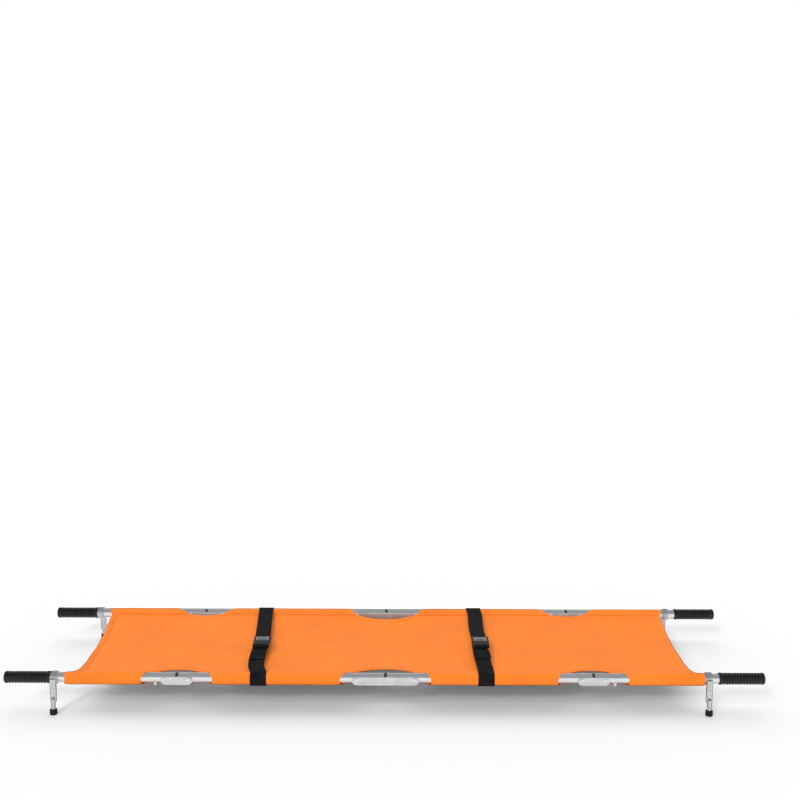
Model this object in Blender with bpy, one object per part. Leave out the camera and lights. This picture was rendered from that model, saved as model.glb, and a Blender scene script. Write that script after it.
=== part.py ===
"""Folding stretcher: a canvas bed on two aluminium poles. Each pole is four tubes in a row, joined by three
hinge brackets with two pivots each, so that it folds into four layers. Two folding spreaders hold the poles
apart. Units are metres. +X runs along the poles, +Y to the rear pole, +Z up, and the floor is at Z = 0."""

import math

import bmesh
import bpy
from mathutils import Matrix

# Driving dimensions
LENGTH = 2.080
POLE_Y = 0.250
AXIS_Z = 0.095
GAP = 0.0003

# Poles
TUBE_R = 0.013
TUBE_WALL = 0.0016
TUBE_SIDES = 20
SMALL_SIDES = 10
END_GAP = 0.004
OUTER_HINGE_X = 0.570
MIDDLE_PIVOTS = 0.158
OUTER_PIVOTS = 0.062
GRIP_LENGTH = 0.125
GRIP_R = 0.015
GRIP_LIP = 0.0008
TIP_WALL = 0.0037
TUBE_INSET = 0.004

# Hinge brackets: U channels, open above
FLANGE_IN = 0.0135
FLANGE_OUT = 0.0160
BRACKET_R = 0.012
BRACKET_DROP = 0.004
WEB_BACK = 0.0145
BOLT_R = 0.0030
HOLE_R = 0.0033
HEAD_R = 0.0060
HEAD_HEIGHT = 0.0028
NUT_R = 0.0055
NUT_HEIGHT = 0.0040

# Legs: left and right are at different distances so that they pass each other when folded
LEFT_LEG_X = -0.904
RIGHT_LEG_X = 0.886
COLLAR_R = 0.0165
LEG_WIDTH = 0.016
LEG_OUT = 0.026
LEG_R = 0.006
LEG_END_Z = 0.005
LUG_TOP = 0.0030
LUG_BOTTOM = -0.0600
LUG_NEAR = 0.0150
LUG_FAR = 0.0245
SCREW_HOLES = (-0.0300, -0.0430)
SCREW_HOLE_R = 0.0020
SCREW_HOLE_DEPTH = 0.0050
POST_TOP = -0.0500
FOOT_R = 0.0095
FOOT_HEIGHT = 0.0155

# Spreaders
SPREADER_X = 0.630
LINK_WIDTH = 0.012
LINK_THICK = 0.003
FRONT_LINK_TOP = -0.0165
REAR_LINK_TOP = -0.0200
RIVET_HEAD_R = 0.0050
PIN_HEAD_R = 0.0055
PIN_HEAD = 0.0024
PIN_INSIDE = -0.0099
PIN_INSIDE_R = 0.0045
PIN_INSIDE_HEAD = 0.0019

# Canvas
CANVAS_END_X = 0.875
CANVAS_EDGE_Y = 0.233
CANVAS_THICK = 0.002
END_CURVE = 0.033
# Half length and depth of the cut-outs at the hinges, measured from the poles' axes
MIDDLE_NOTCH = (0.110, 0.050)
OUTER_NOTCH = (0.0825, 0.036)

# Straps: the loops go round each pole
STRAP_WIDTH = 0.045
STRAP_IN = 0.0150
STRAP_OUT = 0.0165
LEFT_STRAP_X = (-0.348, -0.381)
RIGHT_STRAP_X = (0.276, 0.276)
BUCKLE_Y = -0.045
BUCKLE_WIDTH = 0.050
BUCKLE_LIFT = 0.0168
BUCKLE_HEIGHT = 0.009
BUCKLE_WALL = 0.0022
SOCKET_MOUTH = 0.004
BUCKLE_REACH = 0.036
TONGUE_BACK = -0.0190
WEBBING_SLOT = (0.0265, 0.0325)

MATERIALS = {
    "tube": ((0.78, 0.79, 0.80), 0.32, 1.0),
    "bracket": ((0.62, 0.63, 0.65), 0.42, 1.0),
    "bolt": ((0.72, 0.72, 0.74), 0.18, 1.0),
    "leg": ((0.66, 0.67, 0.69), 0.35, 1.0),
    "spreader": ((0.76, 0.76, 0.78), 0.20, 1.0),
    "rubber": ((0.015, 0.015, 0.016), 0.72, 0.0),
    "canvas": ((1.0, 0.24, 0.05), 0.70, 0.0),
    "webbing": ((0.020, 0.020, 0.022), 0.85, 0.0),
    "buckle": ((0.030, 0.030, 0.032), 0.40, 0.0),
}
SIDES = (("front", -1), ("rear", 1))
HINGES = (
    ("left", -OUTER_HINGE_X, OUTER_PIVOTS / 2),
    ("middle", 0.0, MIDDLE_PIVOTS / 2),
    ("right", OUTER_HINGE_X, OUTER_PIVOTS / 2),
)


def material(name):
    """The named material, made once."""
    if name in bpy.data.materials:
        return bpy.data.materials[name]
    made = bpy.data.materials.new(name)
    made.use_nodes = True
    shader = made.node_tree.nodes["Principled BSDF"]
    colour, roughness, metallic = MATERIALS[name]
    shader.inputs["Base Color"].default_value = (*colour, 1.0)
    shader.inputs["Roughness"].default_value = roughness
    shader.inputs["Metallic"].default_value = metallic
    return made


def add(name, shape, finish, place=Matrix.Identity(4), parent=None):
    """An object from a bmesh, with its faces pointing out, placed and smooth shaded."""
    bmesh.ops.remove_doubles(shape, verts=shape.verts, dist=1e-6)
    bmesh.ops.recalc_face_normals(shape, faces=shape.faces)
    mesh = bpy.data.meshes.new(name)
    shape.to_mesh(mesh)
    shape.free()
    mesh.shade_smooth()
    mesh.set_sharp_from_angle(angle=math.radians(40))
    made = bpy.data.objects.new(name, mesh)
    bpy.context.scene.collection.objects.link(made)
    made.data.materials.append(material(finish))
    made.parent = parent
    made.matrix_local = place
    return made


def turned(profile, sides):
    """A solid turned about Z. The profile is a list of (radius, z), closed on itself or ending on the axis."""
    shape = bmesh.new()
    points = [shape.verts.new((radius, 0, z)) for radius, z in profile]
    pairs = list(zip(points, points[1:] + points[:1]))
    on_axis = [radius < 1e-9 for radius, _ in profile]
    edges = [
        shape.edges.new(pair)
        for i, pair in enumerate(pairs)
        if not (on_axis[i] and on_axis[(i + 1) % len(profile)])
    ]
    bmesh.ops.spin(
        shape,
        geom=points + edges,
        cent=(0, 0, 0),
        axis=(0, 0, 1),
        angle=math.tau,
        steps=sides,
        use_merge=True,
    )
    return shape


def extruded(outline, low, high):
    """A solid from an outline of (x, y), between two heights."""
    shape = bmesh.new()
    face = shape.faces.new([shape.verts.new((x, y, low)) for x, y in outline])
    grown = bmesh.ops.extrude_face_region(shape, geom=[face])
    tops = [item for item in grown["geom"] if isinstance(item, bmesh.types.BMVert)]
    bmesh.ops.translate(shape, vec=(0, 0, high - low), verts=tops)
    return shape


def box(low, high):
    """A box between two corners."""
    outline = [(low[0], low[1]), (high[0], low[1]), (high[0], high[1]), (low[0], high[1])]
    return extruded(outline, low[2], high[2])


def slot_outline(half, radius, steps=8):
    """An outline with round ends, whose end arcs are centred at -half and +half along X."""
    points = []
    for centre, start in ((half, -math.pi / 2), (-half, math.pi / 2)):
        for i in range(steps + 1):
            angle = start + math.pi * i / steps
            points.append((centre + radius * math.cos(angle), radius * math.sin(angle)))
    return points


def cut(target, cutter_shape, place=Matrix.Identity(4), operation="DIFFERENCE"):
    """A Boolean with a hidden cutter that lies in the target's own frame."""
    cutter = add(f"{target.name}.cutter{len(target.modifiers)}", cutter_shape, "bolt", place, target)
    cutter.hide_render = True
    cutter.display_type = "WIRE"
    boolean = target.modifiers.new("Boolean", "BOOLEAN")
    boolean.operation = operation
    boolean.object = cutter
    boolean.solver = "EXACT"


def join(target, shape, place=Matrix.Identity(4)):
    cut(target, shape, place, "UNION")


def move(x, y, z):
    return Matrix.Translation((x, y, z))


TO_X = Matrix.Rotation(math.pi / 2, 4, "Y")


def to_outside(side):
    """Turns a part made along Z so that it points away from the bed, along -Y or +Y."""
    return Matrix.Rotation(-side * math.pi / 2, 4, "X")


def cylinder(radius, low, high, sides=SMALL_SIDES):
    return turned([(0, high), (radius, high), (radius, low), (0, low)], sides)


def make_tube(number, low, high, row, side, holes, spreader_hole):
    """One open tube of a pole, drilled through for the hinge bolts and below for a spreader pin."""
    length = high - low
    wall = [(TUBE_R, length), (TUBE_R, 0), (TUBE_R - TUBE_WALL, 0), (TUBE_R - TUBE_WALL, length)]
    place = move(low, side * POLE_Y, AXIS_Z) @ TO_X
    tube = add(f"tube_{number}_{row}", turned(wall, TUBE_SIDES), "tube", place)
    back = TO_X.inverted()
    for x in holes:
        across = Matrix.Rotation(math.pi / 2, 4, "X")
        drill = cylinder(HOLE_R, -2 * TUBE_R, 2 * TUBE_R)
        cut(tube, drill, back @ move(x - low, 0, 0) @ across)
    if spreader_hole is not None:
        cut(tube, cylinder(HOLE_R, -2 * TUBE_R, 0), back @ move(spreader_hole - low, 0, 0))


def make_grip(end, row, side):
    """A rubber hand grip over the tube's end, with a lip at the open end and a closed tip."""
    direction = -1 if end == "left" else 1
    bore = TUBE_R + GAP
    tip = GRIP_LENGTH
    profile = [
        (bore, 0),
        (GRIP_R + GRIP_LIP, 0),
        (GRIP_R + GRIP_LIP, 0.006),
        (GRIP_R, 0.008),
        (GRIP_R, tip - 0.003),
        (GRIP_R - 0.0030, tip),
        (0, tip),
        (0, tip - TIP_WALL),
        (bore, tip - TIP_WALL),
    ]
    place = move(direction * (LENGTH / 2 - GRIP_LENGTH), side * POLE_Y, AXIS_Z)
    turn = Matrix.Rotation(direction * math.pi / 2, 4, "Y")
    add(f"grip_{end}_{row}", turned(profile, TUBE_SIDES), "rubber", place @ turn)


def make_bracket(hinge, x, half, row, side):
    """A U channel under two tube ends, cut away below each pivot so that its tube can fold down."""
    upright = Matrix.Rotation(math.pi / 2, 4, "X")
    place = move(x, side * POLE_Y, AXIS_Z) @ upright
    outline = [(px, py - BRACKET_DROP) for px, py in slot_outline(half, BRACKET_R)]
    bracket = add(f"bracket_{hinge}_{row}", extruded(outline, -FLANGE_OUT, FLANGE_OUT), "bracket", place)
    web = half - WEB_BACK
    beyond = half + 2 * BRACKET_R
    cavity = [
        (-beyond, -2 * FLANGE_OUT),
        (-web, -2 * FLANGE_OUT),
        (-web, -FLANGE_IN),
        (web, -FLANGE_IN),
        (web, -2 * FLANGE_OUT),
        (beyond, -2 * FLANGE_OUT),
        (beyond, 2 * FLANGE_OUT),
        (-beyond, 2 * FLANGE_OUT),
    ]
    cut(bracket, extruded(cavity, -FLANGE_IN, FLANGE_IN))
    for pivot in (-half, half):
        cut(bracket, cylinder(HOLE_R, -2 * FLANGE_OUT, 2 * FLANGE_OUT), move(pivot, 0, 0))


def make_hinge_bolt(name, x, row, side):
    """A pivot bolt across the pole: a domed head outside, a plain shank and a nut inside."""
    seat = FLANGE_OUT + GAP
    profile = [
        (0, seat + HEAD_HEIGHT),
        (HEAD_R * 0.7, seat + HEAD_HEIGHT),
        (HEAD_R, seat + 0.0012),
        (HEAD_R, seat),
        (BOLT_R, seat),
        (BOLT_R, -seat),
        (NUT_R, -seat),
        (NUT_R, -seat - NUT_HEIGHT),
        (0, -seat - NUT_HEIGHT),
    ]
    add(name, turned(profile, SMALL_SIDES), "bolt", move(x, side * POLE_Y, AXIS_Z) @ to_outside(side))


def make_leg(end, x, row, side):
    """A leg: a collar round the pole, a lug with two blind holes beside it, and a round post."""
    place = move(x, side * POLE_Y, AXIS_Z)
    ring = [
        (TUBE_R + GAP, -LEG_WIDTH / 2),
        (COLLAR_R, -LEG_WIDTH / 2),
        (COLLAR_R, LEG_WIDTH / 2),
        (TUBE_R + GAP, LEG_WIDTH / 2),
    ]
    leg = add(f"leg_{end}_{row}", turned(ring, TUBE_SIDES), "leg", place @ TO_X)
    back = TO_X.inverted()
    half = LEG_WIDTH / 2 - 0.0001
    near, far = sorted((side * LUG_NEAR, side * LUG_FAR))
    join(leg, box((-half, near, LUG_BOTTOM), (half, far, LUG_TOP)), back)
    post = cylinder(LEG_R, LEG_END_Z - AXIS_Z, POST_TOP, 14)
    join(leg, post, back @ move(0, side * LEG_OUT, 0))
    for height in SCREW_HOLES:
        across = Matrix.Rotation(math.pi / 2, 4, "X")
        drill = cylinder(SCREW_HOLE_R, -SCREW_HOLE_DEPTH, SCREW_HOLE_DEPTH, 8)
        cut(leg, drill, back @ move(0, side * LUG_FAR, height) @ across)
    cap = [
        (0, 0),
        (FOOT_R - 0.0012, 0),
        (FOOT_R, 0.0015),
        (FOOT_R, FOOT_HEIGHT - 0.0030),
        (FOOT_R - 0.0020, FOOT_HEIGHT),
        (LEG_R + GAP, FOOT_HEIGHT),
        (LEG_R + GAP, LEG_END_Z - GAP),
        (0, LEG_END_Z - GAP),
    ]
    add(f"foot_{end}_{row}", turned(cap, 16), "rubber", move(x, side * (POLE_Y + LEG_OUT), 0))


def make_spreader_link(end, x, row, side, top):
    """A flat bar from the pole to the middle of the bed, with a round hole at each end."""
    half = POLE_Y / 2
    quarter = Matrix.Rotation(math.pi / 2, 4, "Z")
    place = move(x, side * half, AXIS_Z + top) @ quarter
    flat = extruded(slot_outline(half, LINK_WIDTH / 2), -LINK_THICK, 0)
    bar = add(f"spreader_{end}_{row}", flat, "spreader", place)
    knee = -side * half
    cut(bar, cylinder(HOLE_R, -0.010, 0.010), move(-knee, 0, 0))
    if row == "rear":
        cut(bar, cylinder(HOLE_R, -0.010, 0.010), move(knee, 0, 0))
        return
    # The front link carries the knee's rivet, which hangs below it and through the rear link.
    below = REAR_LINK_TOP - LINK_THICK - FRONT_LINK_TOP - GAP
    rivet = [
        (0, -0.001),
        (BOLT_R, -0.001),
        (BOLT_R, below),
        (RIVET_HEAD_R, below),
        (RIVET_HEAD_R, below - PIN_HEAD / 2),
        (BOLT_R, below - PIN_HEAD),
        (0, below - PIN_HEAD),
    ]
    join(bar, turned(rivet, SMALL_SIDES), move(knee, 0, 0))


def make_spreader_pin(end, x, row, side, top):
    """A shouldered pin from inside the tube down through the link, with a head at each end."""
    low = top - LINK_THICK - GAP
    profile = [
        (0, PIN_INSIDE + PIN_INSIDE_HEAD),
        (PIN_INSIDE_R, PIN_INSIDE + PIN_INSIDE_HEAD),
        (PIN_INSIDE_R, PIN_INSIDE),
        (BOLT_R, PIN_INSIDE),
        (BOLT_R, -TUBE_R - GAP),
        (PIN_HEAD_R, -TUBE_R - GAP),
        (PIN_HEAD_R, top + GAP),
        (BOLT_R, top + GAP),
        (BOLT_R, low),
        (PIN_HEAD_R, low),
        (PIN_HEAD_R, low - PIN_HEAD / 2),
        (0.0035, low - PIN_HEAD),
        (0, low - PIN_HEAD),
    ]
    add(f"spreader_pin_{end}_{row}", turned(profile, SMALL_SIDES), "bolt", move(x, side * POLE_Y, AXIS_Z))


def notch_depth(x):
    """How far the canvas is cut back from the pole's axis at x: an arc round each hinge."""
    deepest = 0.0
    notches = ((-OUTER_HINGE_X, OUTER_NOTCH), (0.0, MIDDLE_NOTCH), (OUTER_HINGE_X, OUTER_NOTCH))
    for centre, (half, depth) in notches:
        radius = (half**2 + depth**2) / (2 * depth)
        if abs(x - centre) < half:
            sag = radius - math.sqrt(radius**2 - (x - centre) ** 2)
            deepest = depth - sag
    return deepest


def make_canvas(name, low, high):
    """One flat piece of the bed. The pieces meet on the lines of the pivots, where the canvas creases."""
    ends = [low + GAP, high - GAP]
    steps = 28
    xs = [ends[0] + (ends[1] - ends[0]) * i / steps for i in range(steps + 1)]
    edge = [min(CANVAS_EDGE_Y, POLE_Y - notch_depth(x)) for x in xs]
    xs_kept = [
        (x, y)
        for i, (x, y) in enumerate(zip(xs, edge))
        if i in (0, steps) or not edge[i - 1] == y == edge[i + 1]
    ]
    outline = [(x, -y) for x, y in xs_kept]
    far = end_curve(1) if high == CANVAS_END_X else []
    near = end_curve(-1) if low == -CANVAS_END_X else []
    outline += far + [(x, y) for x, y in reversed(xs_kept)] + near
    add(name, extruded(outline, -CANVAS_THICK / 2, CANVAS_THICK / 2), "canvas", move(0, 0, AXIS_Z))


def end_curve(direction):
    """The points of the hollow end of the bed, between its corners."""
    points = []
    for i in range(1, 10):
        y = direction * CANVAS_EDGE_Y * (i / 5 - 1)
        hollow = END_CURVE * (1 - (y / CANVAS_EDGE_Y) ** 2)
        points.append((direction * (CANVAS_END_X - GAP - hollow), y))
    return points


def strap_line(radius):
    """Half the outline of a strap seen from its end: up over the front pole and round under it."""
    steps = 14
    turn = math.radians(290)
    points = []
    for i in range(steps + 1):
        angle = math.pi / 2 + turn * i / steps
        points.append((-POLE_Y + radius * math.cos(angle), radius * math.sin(angle)))
    return points


def make_strap(end, places):
    """A flat strap over the bed with a loop round each pole, sheared so that it crosses at a slant."""
    outer = strap_line(STRAP_OUT)
    inner = strap_line(STRAP_IN)
    front = outer + inner[::-1]
    outline = front + [(-y, z) for y, z in reversed(front)]
    shape = extruded(outline, -STRAP_WIDTH / 2, STRAP_WIDTH / 2)
    slant = (places[1] - places[0]) / (2 * POLE_Y)
    for vert in shape.verts:
        y, z, x = vert.co
        vert.co = (x + slant * y, y, z)
    add(f"strap_{end}", shape, "webbing", move((places[0] + places[1]) / 2, 0, AXIS_Z))


def make_buckle(end, places):
    """A side-release buckle in two pieces: a socket with a slot, and a plug whose tongue goes into it."""
    slant = (places[1] - places[0]) / (2 * POLE_Y)
    x = (places[0] + places[1]) / 2 + slant * BUCKLE_Y
    place = move(x, BUCKLE_Y, AXIS_Z + BUCKLE_LIFT)
    half = BUCKLE_WIDTH / 2
    top = BUCKLE_HEIGHT
    slot_near, slot_far = WEBBING_SLOT
    side = half - 0.006
    body = box((-half, -BUCKLE_REACH, 0), (half, SOCKET_MOUTH, top))
    socket = add(f"buckle_socket_{end}", body, "buckle", place)
    cut(socket, box((-half + 0.005, -0.020, BUCKLE_WALL), (half - 0.005, 0.010, top - BUCKLE_WALL)))
    cut(socket, box((-side, -slot_far, -0.010), (side, -slot_near, 0.020)))
    body = box((-half, SOCKET_MOUTH + GAP, 0), (half, BUCKLE_REACH, top))
    plug = add(f"buckle_plug_{end}", body, "buckle", place)
    cut(plug, box((-side, slot_near, -0.010), (side, slot_far, 0.020)))
    tongue = half - 0.0056
    join(plug, box((-tongue, TONGUE_BACK, 0.0028), (tongue, 0.0100, top - 0.0028)))


def remove_all():
    for old in list(bpy.data.objects):
        bpy.data.objects.remove(old)


def make_poles():
    """The tubes, their brackets and bolts, on both sides."""
    left, middle, right = HINGES
    pin = {1: -SPREADER_X, 4: SPREADER_X}
    spans = (
        (1, TUBE_INSET - LENGTH / 2, left[1] - END_GAP, (left[1] - left[2],)),
        (2, left[1] + END_GAP, -END_GAP, (left[1] + left[2], -middle[2])),
        (3, END_GAP, right[1] - END_GAP, (middle[2], right[1] - right[2])),
        (4, right[1] + END_GAP, LENGTH / 2 - TUBE_INSET, (right[1] + right[2],)),
    )
    for row, side in SIDES:
        for number, low, high, holes in spans:
            make_tube(number, low, high, row, side, holes, pin.get(number))
        for hinge, x, half in HINGES:
            make_bracket(hinge, x, half, row, side)
            for place, pivot in (("a", x - half), ("b", x + half)):
                make_hinge_bolt(f"hinge_bolt_{hinge}_{place}_{row}", pivot, row, side)


def make_ends():
    """The grips, legs and feet, and the two spreaders."""
    for end, leg_x, direction in (("left", LEFT_LEG_X, -1), ("right", RIGHT_LEG_X, 1)):
        for row, side in SIDES:
            top = FRONT_LINK_TOP if row == "front" else REAR_LINK_TOP
            make_grip(end, row, side)
            make_leg(end, leg_x, row, side)
            make_spreader_link(end, direction * SPREADER_X, row, side, top)
            make_spreader_pin(end, direction * SPREADER_X, row, side, top)


def make_bed():
    """The canvas in its seven stretches, and the two straps with their buckles."""
    outer_in = OUTER_HINGE_X - OUTER_PIVOTS / 2
    outer_out = OUTER_HINGE_X + OUTER_PIVOTS / 2
    middle = MIDDLE_PIVOTS / 2
    lines = [-CANVAS_END_X, -outer_out, -outer_in, -middle, middle, outer_in, outer_out, CANVAS_END_X]
    names = ["1", "left_hinge", "2", "middle_hinge", "3", "right_hinge", "4"]
    for name, low, high in zip(names, lines, lines[1:]):
        make_canvas(f"canvas_{name}", low, high)
    for end, places in (("left", LEFT_STRAP_X), ("right", RIGHT_STRAP_X)):
        make_strap(end, places)
        make_buckle(end, places)


remove_all()
make_poles()
make_ends()
make_bed()
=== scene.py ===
"""The folding stretcher's looks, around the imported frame. Every place and size comes from the CAD nodes.
X runs along the poles, Y across the bed, Z up, in metres."""

from math import acos, atan2, cos, dist, exp, hypot, pi, radians, sin, sqrt, tau

import bmesh
import bpy
from mathutils import Matrix, Vector, noise


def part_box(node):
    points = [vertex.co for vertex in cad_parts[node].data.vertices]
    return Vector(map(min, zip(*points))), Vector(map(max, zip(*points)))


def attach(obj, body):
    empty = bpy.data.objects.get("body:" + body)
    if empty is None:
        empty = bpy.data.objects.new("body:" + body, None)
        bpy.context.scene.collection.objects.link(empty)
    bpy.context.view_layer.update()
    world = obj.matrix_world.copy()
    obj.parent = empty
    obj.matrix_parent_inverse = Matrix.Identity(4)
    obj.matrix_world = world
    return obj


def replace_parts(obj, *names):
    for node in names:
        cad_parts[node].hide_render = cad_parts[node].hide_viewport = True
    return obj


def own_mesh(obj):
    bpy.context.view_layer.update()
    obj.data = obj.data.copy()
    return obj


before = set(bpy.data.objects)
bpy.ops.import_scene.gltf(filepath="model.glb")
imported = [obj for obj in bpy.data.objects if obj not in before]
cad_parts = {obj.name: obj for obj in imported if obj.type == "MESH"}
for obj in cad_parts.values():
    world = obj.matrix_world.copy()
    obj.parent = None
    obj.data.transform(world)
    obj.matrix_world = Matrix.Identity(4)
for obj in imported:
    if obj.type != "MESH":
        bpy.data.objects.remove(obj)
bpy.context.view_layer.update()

ROWS = (("front", -1), ("rear", 1))


def middle(node):
    """The centre of a CAD node's box."""
    low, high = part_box(node)
    return [(a + b) / 2 for a, b in zip(low, high)]


def extent(node):
    """The length of a CAD node's box along X, Y and Z."""
    low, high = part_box(node)
    return [b - a for a, b in zip(low, high)]


def spaced(low, high, count):
    """Both ends and the places between them, count steps in all."""
    return [low + (high - low) * i / count for i in range(count + 1)]


# Places, read from the frame
AXIS_Z = middle("tube_2_front")[2]
POLE_Y = middle("tube_2_rear")[1]
TUBE_R = extent("tube_2_rear")[1] / 2
HINGE_X = {name: middle(f"bracket_{name}_front")[0] for name in ("left", "middle", "right")}
_, BRACKET_HALF_Y, BRACKET_R = (length / 2 for length in extent("bracket_left_front"))
PIVOT_HALF = {name: extent(f"bracket_{name}_front")[0] / 2 - BRACKET_R for name in HINGE_X}
BED_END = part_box("canvas_4")[1][0]
BED_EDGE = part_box("canvas_2")[1][1]

# Cloth
CLOTH = 0.0008
SLEEVE_R = TUBE_R + 0.0004
SLEEVE_DROOP = 0.0046
# The cut-outs: half their length on the pole's outer line, and their depth from the axis of the front pole
# (-1) or the rear one (1)
NOTCH_HALF = {"left": 0.0975, "middle": 0.125, "right": 0.0975}
NOTCH_DEPTH = {
    -1: {"left": 0.045, "middle": 0.054, "right": 0.045},
    1: {"left": 0.035, "middle": 0.060, "right": 0.035},
}
QUARTER = pi / 2 * SLEEVE_R
FLAP_END = 0.0255
FLAP_RISE = 0.0050
BED_INSET = 0.017
BED_HALF = POLE_Y - BED_INSET
BED_RISE = 0.0038
SAG = 0.0075
# Tension folds at the cut-outs and at the hollow ends: their height, reach and ripple
HINGE_FOLD = (0.0012, 0.16, 0.020)
END_FOLD = (0.0014, 0.10, 0.018)
# The bed's hollow ends: how far inside the sleeves' ends at the front and rear poles, and more in the middle
END_FRONT, END_REAR, END_HOLLOW = 0.026, 0.010, 0.009
# The front corners run out towards the end of the sleeve: by how much, and from how far in
END_FLAP, END_CORNER = 0.014, 0.034
HEM_WIDTH = 0.016
STITCH = 0.0045
# The tubes at the stretcher's ends, by number, and the bodies that the tubes belong to
OUTER = {"left": 1, "right": 4}
TUBE_BODY = {1: "outer_left", 2: "inner_left", 3: "inner_right", 4: "outer_right"}
# A radius below this lies on the axis, and points this near are one
ON_AXIS = 1e-7


# --- Materials


def graph(name, colour, roughness, metallic=0.0):
    """A new material, and its shader."""
    made = bpy.data.materials.new(name)
    made.use_nodes = True
    made.diffuse_color = (*colour, 1.0)
    shader = made.node_tree.nodes["Principled BSDF"]
    shader.inputs["Base Color"].default_value = (*colour, 1.0)
    shader.inputs["Roughness"].default_value = roughness
    shader.inputs["Metallic"].default_value = metallic
    return made, shader


def node_of(kind, owner, **values):
    """A new shader node in the owner's tree. Each value is a number or another node's socket."""
    node = owner.id_data.nodes.new(kind)
    for name, value in values.items():
        feed(node.inputs[name], value)
    return node


def feed(socket, value):
    if isinstance(value, bpy.types.NodeSocket):
        socket.id_data.links.new(value, socket)
    else:
        socket.default_value = value


def place(shader, scale=(1, 1, 1)):
    """Object coordinates, scaled."""
    coordinates = node_of("ShaderNodeTexCoord", shader).outputs["Object"]
    return node_of("ShaderNodeMapping", shader, Vector=coordinates, Scale=scale).outputs["Vector"]


def noise_at(vector, scale, detail=3.0, roughness=0.55):
    values = dict(Vector=vector, Scale=scale, Detail=detail, Roughness=roughness)
    return node_of("ShaderNodeTexNoise", vector, **values).outputs["Fac"]


def ramp(factor, *stops):
    """A colour ramp over a factor. The stops are (position, colour)."""
    node = node_of("ShaderNodeValToRGB", factor, Fac=factor)
    elements = node.color_ramp.elements
    for element, (position, colour) in zip(elements, stops):
        element.position = position
        element.color = (*colour, 1.0)
    return node.outputs["Color"]


def math_node(operation, *terms):
    node = node_of("ShaderNodeMath", terms[0])
    node.operation = operation
    for socket, term in zip(node.inputs, terms):
        feed(socket, term)
    return node.outputs["Value"]


def wave(vector, scale, direction, distortion=0.0):
    node = node_of("ShaderNodeTexWave", vector, Vector=vector, Scale=scale, Distortion=distortion)
    node.wave_type = "BANDS"
    node.bands_direction = direction
    return node.outputs["Fac"]


def bump(shader, height, distance, strength=1.0):
    node = node_of("ShaderNodeBump", shader, Height=height, Distance=distance, Strength=strength)
    feed(shader.inputs["Normal"], node.outputs["Normal"])


def tint(shader, factor, *stops):
    """Colours a shader by a ramp over a factor."""
    feed(shader.inputs["Base Color"], ramp(factor, *stops))


def polish(shader, factor, gain, least):
    """Sets a shader's roughness to a factor times a gain, plus the least roughness."""
    feed(shader.inputs["Roughness"], math_node("MULTIPLY_ADD", factor, gain, least))


def matt(shader, specular):
    shader.inputs["Specular IOR Level"].default_value = specular


def shades(colour, low, high):
    """A darker and a lighter shade of a colour."""
    return tuple(c * low for c in colour), tuple(min(c * high, 1.0) for c in colour)


def make_canvas_material():
    """Coated oxford cloth: a fine square weave, a faint mottle and a soft sheen."""
    orange = (0.95, 0.216, 0.016)
    made, shader = graph("canvas_orange", orange, 0.62)
    matt(shader, 0.22)
    spot = place(shader)
    mottle = noise_at(spot, 9.0, 4.0)
    dark, light = shades(orange, 0.93, 1.08)
    tint(shader, mottle, (0.30, dark), (0.70, light))
    along = wave(spot, 210.0, "X", 0.3)
    across = wave(spot, 210.0, "Y", 0.3)
    weave = math_node("MULTIPLY", along, across)
    slack = noise_at(spot, 26.0, 2.0)
    height = math_node("ADD", math_node("MULTIPLY", weave, 0.25), slack)
    bump(shader, height, 0.0009, 0.45)
    polish(shader, mottle, 0.12, 0.52)
    return made


def make_thread_material():
    made, shader = graph("stitching_thread", (0.88, 0.30, 0.09), 0.6)
    twist = wave(place(shader), 600.0, "DIAGONAL")
    bump(shader, twist, 0.0002, 0.6)
    return made


def make_webbing_material():
    """Black polyester webbing: ribs along its length, crossed by a fine weft."""
    black = (0.006, 0.006, 0.007)
    made, shader = graph("webbing_black", black, 0.78)
    spot = place(shader)
    ribs = wave(spot, 130.0, "X", 0.15)
    weft = wave(spot, 260.0, "Y", 0.4)
    height = math_node("ADD", ribs, math_node("MULTIPLY", weft, 0.5))
    bump(shader, height, 0.0006, 0.7)
    tint(shader, noise_at(spot, 60.0), (0.35, black), (0.75, (0.016, 0.016, 0.018)))
    matt(shader, 0.08)
    return made


def make_metal(name, colour, roughness, grain, worn=0.10):
    """Bare metal with a drawn grain along X, small scuffs and a little uneven polish."""
    made, shader = graph(name, colour, roughness, 1.0)
    drawn = noise_at(place(shader, (4, 260, 260)), grain, 5.0)
    scuffs = noise_at(place(shader, (25, 140, 140)), 1.0, 5.0, 0.6)
    dark, light = shades(colour, 1 - worn, 1 + worn * 0.4)
    tint(shader, scuffs, (0.28, dark), (0.66, light))
    polish(shader, drawn, 0.14, max(roughness - 0.08, 0.04))
    bump(shader, drawn, 0.00008, 0.25)
    return made


def make_cast_metal(name, colour, roughness):
    """Tumbled metal for the brackets: finely pitted and softly mottled."""
    made, shader = graph(name, colour, roughness, 1.0)
    spot = place(shader)
    pits = noise_at(spot, 900.0, 3.0)
    cloud = noise_at(spot, 45.0, 4.0)
    dark, light = shades(colour, 0.86, 1.07)
    tint(shader, cloud, (0.30, dark), (0.70, light))
    polish(shader, cloud, 0.18, roughness - 0.08)
    bump(shader, pits, 0.00015, 0.4)
    return made


def make_rubber(name, base, roughness):
    """Black rubber with fine pores and a dusty bloom."""
    made, shader = graph(name, base, roughness)
    spot = place(shader)
    bloom = noise_at(spot, 55.0, 5.0)
    pores = noise_at(spot, 1500.0, 2.0)
    dusty = tuple(c + 0.008 for c in base)
    matt(shader, 0.35)
    tint(shader, bloom, (0.40, base), (0.80, dusty))
    bump(shader, pores, 0.00015, 0.5)
    return made


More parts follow.
